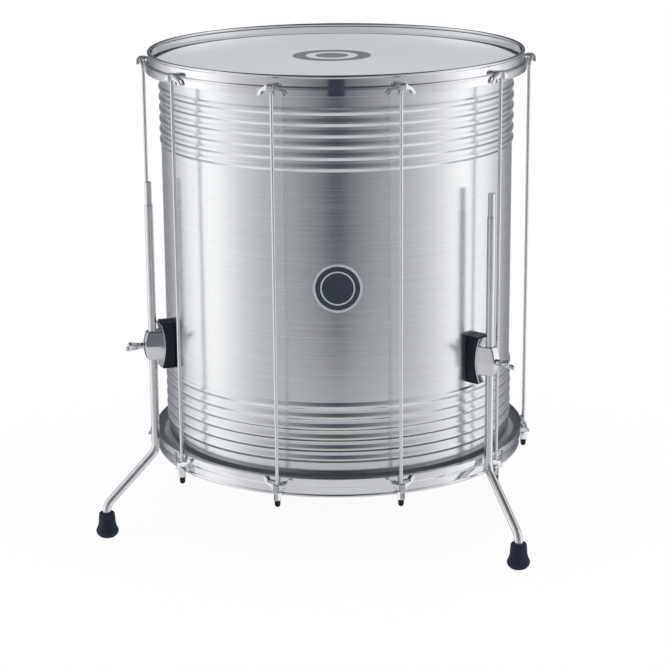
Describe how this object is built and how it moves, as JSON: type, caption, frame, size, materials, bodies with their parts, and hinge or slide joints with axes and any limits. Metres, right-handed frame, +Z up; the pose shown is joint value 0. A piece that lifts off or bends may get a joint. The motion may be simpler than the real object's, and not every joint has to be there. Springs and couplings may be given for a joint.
{
  "type": "surdo drum",
  "caption": "Floor-standing bass drum with a ribbed metal shell, a head at each end, stepped hoops, long tension rods and clamped bent legs on rubber feet.",
  "frame": {"origin": "centre of the upper (batter) head's playing face", "axes": "+Z up along the drum's axis, -Y towards the front, +X to the right seen from the front"},
  "size_m": [0.6449, 0.6453, 0.7011],
  "materials": {
    "shell_aluminium": "brushed",
    "chrome_hoop": "polished",
    "head_film": "matte, lightly coated",
    "flesh_hoop_aluminium": "satin",
    "chrome_rod": "polished, with a black vinyl cap on the lower end",
    "chrome_claw": "polished",
    "pad_plastic": "satin",
    "chrome_bracket": "polished",
    "zinc_steel": "zinc plated",
    "chrome_leg": "polished",
    "foot_rubber": "matte"
  },
  "bodies": {
    "drum": {"shell": "shell_aluminium", "upper_hoop": "chrome_hoop", "lower_hoop": "chrome_hoop", "batter_head": "head_film", "resonant_head": "head_film", "upper_flesh_hoop": "flesh_hoop_aluminium", "lower_flesh_hoop": "flesh_hoop_aluminium", "tension_rod_1": "chrome_rod", "tension_rod_2": "chrome_rod", "tension_rod_3": "chrome_rod", "tension_rod_4": "chrome_rod", "tension_rod_5": "chrome_rod", "tension_rod_6": "chrome_rod", "tension_rod_7": "chrome_rod", "tension_rod_8": "chrome_rod", "tension_rod_9": "chrome_rod", "tension_rod_10": "chrome_rod", "lower_claw_1": "chrome_claw", "lower_claw_2": "chrome_claw", "lower_claw_3": "chrome_claw", "lower_claw_4": "chrome_claw", "lower_claw_5": "chrome_claw", "lower_claw_6": "chrome_claw", "lower_claw_7": "chrome_claw", "lower_claw_8": "chrome_claw", "lower_claw_9": "chrome_claw", "lower_claw_10": "chrome_claw", "bracket_pad_1": "pad_plastic", "bracket_pad_2": "pad_plastic", "bracket_pad_3": "pad_plastic", "bracket_housing_1": "chrome_bracket", "bracket_housing_2": "chrome_bracket", "bracket_housing_3": "chrome_bracket", "backing_plate_1": "zinc_steel", "backing_plate_2": "zinc_steel", "backing_plate_3": "zinc_steel"},
    "leg_slider_1": {"leg_tip_1": "chrome_leg"},
    "leg_assembly_1": {"leg_1": "chrome_leg", "foot_1": "foot_rubber"},
    "wing_1": {"wing_bolt_1": "chrome_bracket"},
    "leg_slider_2": {"leg_tip_2": "chrome_leg"},
    "leg_assembly_2": {"leg_2": "chrome_leg", "foot_2": "foot_rubber"},
    "wing_2": {"wing_bolt_2": "chrome_bracket"},
    "leg_slider_3": {"leg_tip_3": "chrome_leg"},
    "leg_assembly_3": {"leg_3": "chrome_leg", "foot_3": "foot_rubber"},
    "wing_3": {"wing_bolt_3": "chrome_bracket"},
    "nut_1": {"tuning_nut_1": "chrome_claw"},
    "nut_2": {"tuning_nut_2": "chrome_claw"},
    "nut_3": {"tuning_nut_3": "chrome_claw"},
    "nut_4": {"tuning_nut_4": "chrome_claw"},
    "nut_5": {"tuning_nut_5": "chrome_claw"},
    "nut_6": {"tuning_nut_6": "chrome_claw"},
    "nut_7": {"tuning_nut_7": "chrome_claw"},
    "nut_8": {"tuning_nut_8": "chrome_claw"},
    "nut_9": {"tuning_nut_9": "chrome_claw"},
    "nut_10": {"tuning_nut_10": "chrome_claw"}
  },
  "joints": [
    {"name": "leg_1_height", "type": "slide", "parent": "drum", "child": "leg_slider_1", "axis": [0, 0, 1], "range_m": [-0.18, 0.11]},
    {"name": "leg_1_swivel", "type": "hinge", "parent": "leg_slider_1", "child": "leg_assembly_1", "pos_m": [-0.26806, -0.09073, -0.4022], "axis": [0, 0, 1], "range_deg": [-45, 45]},
    {"name": "wing_bolt_1_turn", "type": "hinge", "parent": "drum", "child": "wing_1", "pos_m": [-0.28416, -0.09618, -0.4022], "axis": [-0.9472, -0.3206, 0], "continuous": true},
    {"name": "leg_2_height", "type": "slide", "parent": "drum", "child": "leg_slider_2", "axis": [0, 0, 1], "range_m": [-0.18, 0.11]},
    {"name": "leg_2_swivel", "type": "hinge", "parent": "leg_slider_2", "child": "leg_assembly_2", "pos_m": [0.21261, -0.18678, -0.4022], "axis": [0, 0, 1], "range_deg": [-26.8, 63.2]},
    {"name": "wing_bolt_2_turn", "type": "hinge", "parent": "drum", "child": "wing_2", "pos_m": [0.22538, -0.198, -0.4022], "axis": [0.7513, -0.66, 0], "continuous": true},
    {"name": "leg_3_height", "type": "slide", "parent": "drum", "child": "leg_slider_3", "axis": [0, 0, 1], "range_m": [-0.18, 0.11]},
    {"name": "leg_3_swivel", "type": "hinge", "parent": "leg_slider_3", "child": "leg_assembly_3", "pos_m": [0.05545, 0.27751, -0.4022], "axis": [0, 0, 1], "range_deg": [-45, 45]},
    {"name": "wing_bolt_3_turn", "type": "hinge", "parent": "drum", "child": "wing_3", "pos_m": [0.05878, 0.29418, -0.4022], "axis": [0.1959, 0.9806, 0], "continuous": true},
    {"name": "tuning_nut_1_turn", "type": "hinge", "parent": "drum", "child": "nut_1", "pos_m": [0.08591, -0.26439, -0.5726], "axis": [0, 0, 1], "continuous": true},
    {"name": "tuning_nut_2_turn", "type": "hinge", "parent": "drum", "child": "nut_2", "pos_m": [0.22491, -0.1634, -0.5726], "axis": [0, 0, 1], "continuous": true},
    {"name": "tuning_nut_3_turn", "type": "hinge", "parent": "drum", "child": "nut_3", "pos_m": [0.278, 0, -0.5726], "axis": [0, 0, 1], "continuous": true},
    {"name": "tuning_nut_4_turn", "type": "hinge", "parent": "drum", "child": "nut_4", "pos_m": [0.22491, 0.1634, -0.5726], "axis": [0, 0, 1], "continuous": true},
    {"name": "tuning_nut_5_turn", "type": "hinge", "parent": "drum", "child": "nut_5", "pos_m": [0.08591, 0.26439, -0.5726], "axis": [0, 0, 1], "continuous": true},
    {"name": "tuning_nut_6_turn", "type": "hinge", "parent": "drum", "child": "nut_6", "pos_m": [-0.08591, 0.26439, -0.5726], "axis": [0, 0, 1], "continuous": true},
    {"name": "tuning_nut_7_turn", "type": "hinge", "parent": "drum", "child": "nut_7", "pos_m": [-0.22491, 0.1634, -0.5726], "axis": [0, 0, 1], "continuous": true},
    {"name": "tuning_nut_8_turn", "type": "hinge", "parent": "drum", "child": "nut_8", "pos_m": [-0.278, 0, -0.5726], "axis": [0, 0, 1], "continuous": true},
    {"name": "tuning_nut_9_turn", "type": "hinge", "parent": "drum", "child": "nut_9", "pos_m": [-0.22491, -0.1634, -0.5726], "axis": [0, 0, 1], "continuous": true},
    {"name": "tuning_nut_10_turn", "type": "hinge", "parent": "drum", "child": "nut_10", "pos_m": [-0.08591, -0.26439, -0.5726], "axis": [0, 0, 1], "continuous": true}
  ]
}
